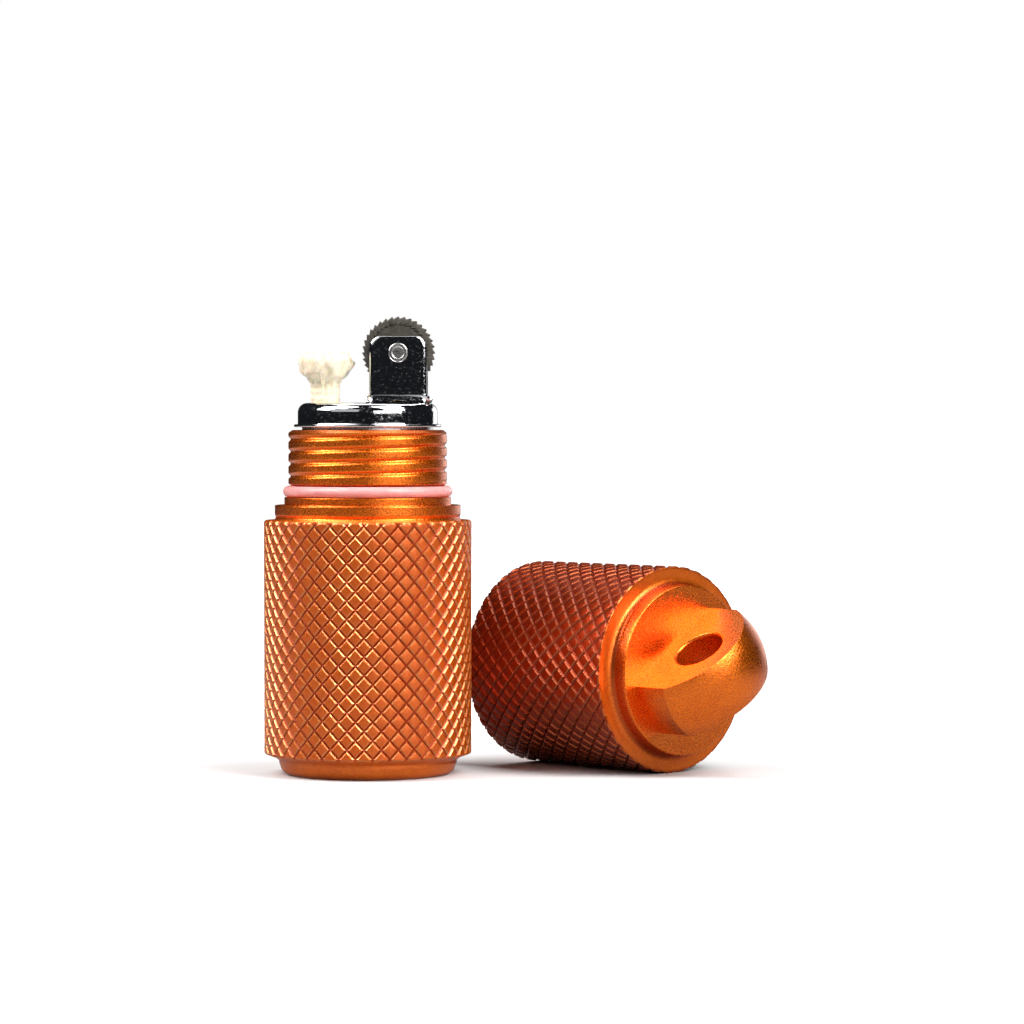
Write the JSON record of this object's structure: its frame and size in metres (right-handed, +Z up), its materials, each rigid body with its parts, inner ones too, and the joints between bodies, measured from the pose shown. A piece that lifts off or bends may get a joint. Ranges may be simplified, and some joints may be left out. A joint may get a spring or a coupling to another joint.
{
  "type": "lighter",
  "caption": "Knurled capsule petrol lighter with wick, spark wheel and sealed screw neck, its knurled cap with a lanyard fin lying beside it.",
  "frame": {"origin": "centre of the tank's flat foot, on the surface it stands on", "axes": "+Z up along the tank's axis; the spark wheel is on the +X side of the head and the wick on the -X side; the wheel's axle lies along Y, and the front is -Y"},
  "size_m": [0.0533, 0.0334, 0.0485],
  "materials": {
    "orange_anodised": "satin, bead blasted and anodised",
    "pink_silicone": "translucent satin",
    "chrome_plate": "polished",
    "bright_sheet": "drawn sheet",
    "rivet_steel": "satin",
    "wheel_steel": "hardened, matte dark",
    "brass_turned": "turned",
    "flint_alloy": "matte",
    "spring_steel": "drawn wire",
    "wick_cotton": "braided, frayed at the top",
    "copper_wire": "drawn wire",
    "grey_felt": "felted",
    "white_wadding": "loose fibre"
  },
  "bodies": {
    "tank": {"tank_body": "orange_anodised", "neck_o_ring": "pink_silicone"},
    "insert": {"head_cup": "chrome_plate", "insert_sleeve": "bright_sheet", "wheel_bracket": "chrome_plate", "wheel_axle": "rivet_steel", "flint_tube": "brass_turned", "wick": "wick_cotton", "wick_wire": "copper_wire", "felt_pad": "grey_felt", "wadding_1": "white_wadding", "wadding_2": "white_wadding", "wadding_3": "white_wadding", "wadding_4": "white_wadding"},
    "spark_wheel": {"flint_wheel": "wheel_steel"},
    "flint_feed": {"flint": "flint_alloy", "flint_plunger": "brass_turned"},
    "screw_travel": {"flint_spring": "spring_steel"},
    "screw": {"flint_screw": "brass_turned"},
    "cap": {"cap_shell": "orange_anodised"}
  },
  "joints": [
    {"name": "insert_pull", "type": "slide", "parent": "tank", "child": "insert", "axis": [0, 0, 1], "range_m": [0, 0.03]},
    {"name": "wheel_spin", "type": "hinge", "parent": "insert", "child": "spark_wheel", "pos_m": [0.0033, 0, 0.0446], "axis": [0, 1, 0], "continuous": true},
    {"name": "flint_retract", "type": "slide", "parent": "insert", "child": "flint_feed", "axis": [0, 0, 1], "range_m": [-0.002, 0], "stiffness_N_per_m": 60, "springref_m": 0.004},
    {"name": "flint_screw_travel", "type": "slide", "parent": "insert", "child": "screw_travel", "axis": [0, 0, 1], "range_m": [-0.0045, 0], "deforming": ["flint_spring"]},
    {"name": "flint_screw_turn", "type": "hinge", "parent": "screw_travel", "child": "screw", "pos_m": [0.0033, 0, 0.0083], "axis": [0, 0, 1], "range_deg": [-3240.1, 0]},
    {"name": "cap_tip_up", "type": "hinge", "parent": "tank", "child": "cap", "pos_m": [0.01845, 0.01518, 0], "axis": [-0.7365, -0.6765, 0], "range_deg": [0, 90]}
  ],
  "couplings": [
    {"joint": "flint_screw_turn", "follows": "flint_screw_travel", "rad_per_m": 12566}
  ]
}
